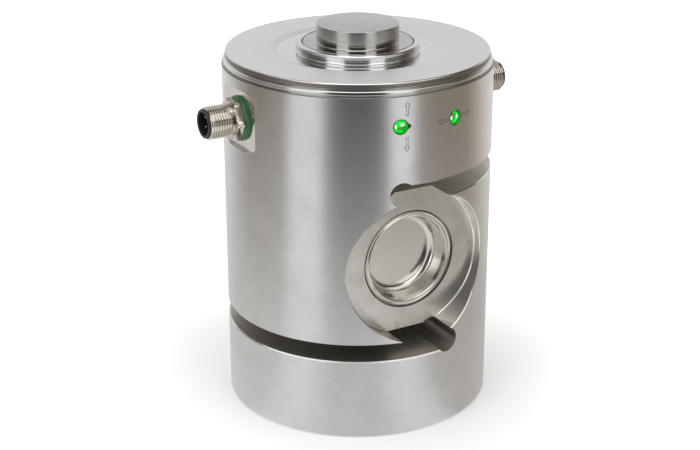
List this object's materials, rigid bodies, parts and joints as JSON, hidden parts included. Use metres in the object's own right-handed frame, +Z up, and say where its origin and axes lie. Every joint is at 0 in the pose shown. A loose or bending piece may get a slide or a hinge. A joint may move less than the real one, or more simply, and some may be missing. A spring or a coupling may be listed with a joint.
{
  "type": "compression_load_cell",
  "caption": "Stainless steel compression load cell with a round load button, an S-slotted body, gauge pockets, two round connectors and two green lamps",
  "frame": {"origin": "centre of the base seat, on the axis of the round body", "axes": "+Z up along the load axis, +Y towards the rear gauge pocket, +X towards the right connector"},
  "size_m": [0.1262, 0.1, 0.1444],
  "materials": {
    "brushed_body": "fine circumferential turning marks",
    "turned_steel": "bright turned stainless steel",
    "satin_cover": "satin turned stainless steel",
    "satin_cup": "satin pressed stainless steel",
    "shell_nickel": "nickel plate",
    "seal_rubber": "green seal rubber",
    "insert_black": "black moulded insulator",
    "pin_gold": "gold flash",
    "lamp_green": "clear green lamp",
    "holder_black": "black moulding",
    "header_white": "natural nylon",
    "board_green": "solder mask",
    "chip_black": "moulding compound",
    "can_nickel": "nickel can",
    "can_sleeve": "plain can",
    "spacer_brass": "turned brass",
    "fastener_steel": "plain screw",
    "pad_tin": "tinned pad",
    "gauge_film": "amber carrier film",
    "lead_sheath": "sleeved wires"
  },
  "bodies": {
    "root": {"sensing_body": "brushed_body", "load_button": "turned_steel", "rim_weld_ring": "turned_steel", "cover_diaphragm": "satin_cover", "collar_weld_ring": "turned_steel", "circuit_board": "board_green", "board_spacers": "spacer_brass", "board_screws": "fastener_steel", "processor_chip": "chip_black", "converter_chip": "chip_black", "driver_chip": "chip_black", "tilt_sensor": "can_nickel", "power_capacitors": "can_sleeve", "front_seal_cup": "satin_cup", "front_strain_gauge": "gauge_film", "front_terminal_pad": "pad_tin", "front_gauge_leads": "lead_sheath", "rear_seal_cup": "satin_cup", "rear_strain_gauge": "gauge_film", "rear_terminal_pad": "pad_tin", "rear_gauge_leads": "lead_sheath", "left_lamp": "lamp_green", "left_lamp_holder": "holder_black", "left_connector_seal": "seal_rubber", "left_connector_shell": "shell_nickel", "left_connector_insert": "insert_black", "left_connector_pins": "pin_gold", "left_connector_leads": "lead_sheath", "left_lead_header": "header_white", "right_lamp": "lamp_green", "right_lamp_holder": "holder_black", "right_connector_seal": "seal_rubber", "right_connector_shell": "shell_nickel", "right_connector_insert": "insert_black", "right_connector_pins": "pin_gold", "right_connector_leads": "lead_sheath", "right_lead_header": "header_white"}
  },
  "joints": []
}
